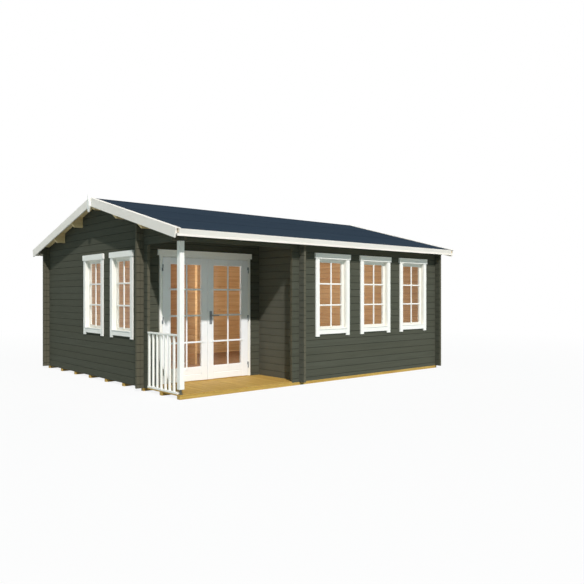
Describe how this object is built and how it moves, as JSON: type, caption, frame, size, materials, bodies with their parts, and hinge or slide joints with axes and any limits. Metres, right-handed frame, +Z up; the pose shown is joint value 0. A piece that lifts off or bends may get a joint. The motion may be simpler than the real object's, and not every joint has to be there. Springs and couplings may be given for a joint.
{
  "type": "log cabin",
  "caption": "Log cabin with crossing log corners, a recessed corner porch with post and railing, glazed double doors, barred windows and a low pitched felt roof.",
  "frame": {"origin": "middle of the whole cabin's plan, at ground level under the bearers", "axes": "+X along the ridge, away from the porch gable; the front faces -Y; +Z up"},
  "size_m": [6.058, 5.374, 2.9739],
  "materials": {
    "raw_timber": "bare sawn timber",
    "wall_paint": "dark grey-green stain",
    "beige_paint": "beige stain",
    "roof_felt": "mineral felt",
    "white_paint": "satin white paint",
    "dark_metal": "dark grey coat",
    "glass": "clear"
  },
  "bodies": {
    "cabin": {"foundation_bearers": "raw_timber", "room_floors": "raw_timber", "porch_deck": "raw_timber", "left_gable_lower": "wall_paint", "left_gable_piers": "wall_paint", "left_gable_lintel": "wall_paint", "left_gable_top": "wall_paint", "right_gable_wall": "wall_paint", "front_wall_lower": "wall_paint", "front_wall_piers": "wall_paint", "front_wall_upper": "wall_paint", "back_wall": "wall_paint", "eave_logs": "wall_paint", "door_wall_left": "wall_paint", "door_wall_right": "wall_paint", "door_wall_top": "wall_paint", "porch_side_wall": "wall_paint", "partition_wall": "raw_timber", "purlins": "beige_paint", "roof_boards": "beige_paint", "roof_felt": "roof_felt", "barge_boards": "white_paint", "edge_caps": "white_paint", "gable_finials": "white_paint", "eave_fascias": "white_paint", "porch_post": "white_paint", "post_base": "dark_metal", "porch_railing": "white_paint", "window_frames": "white_paint", "window_glass": "glass", "window_trim": "white_paint", "door_frame": "white_paint", "door_stops": "white_paint", "door_threshold": "raw_timber", "door_trim": "white_paint", "door_hinge_pins": "dark_metal"},
    "left_leaf": {"left_door_leaf": "white_paint", "left_leaf_glass": "glass", "left_leaf_hinges": "dark_metal"},
    "right_leaf": {"right_door_leaf": "white_paint", "right_leaf_glass": "glass", "right_leaf_hinges": "dark_metal", "handle_plates": "dark_metal"},
    "lever": {"door_lever": "dark_metal"}
  },
  "joints": [
    {"name": "left_leaf_hinge", "type": "hinge", "parent": "cabin", "child": "left_leaf", "pos_m": [-2.4965, -1.4335, 1.007], "axis": [0, 0, -1], "range_deg": [0, 100]},
    {"name": "right_leaf_hinge", "type": "hinge", "parent": "cabin", "child": "right_leaf", "pos_m": [-0.9375, -1.4335, 1.007], "axis": [0, 0, 1], "range_deg": [0, 100]},
    {"name": "lever_turn", "type": "hinge", "parent": "right_leaf", "child": "lever", "pos_m": [-1.66, -1.403, 1.062], "axis": [0, 1, 0], "range_deg": [0, 40], "stiffness_Nm_per_rad": 2, "springref_deg": -20.05}
  ]
}
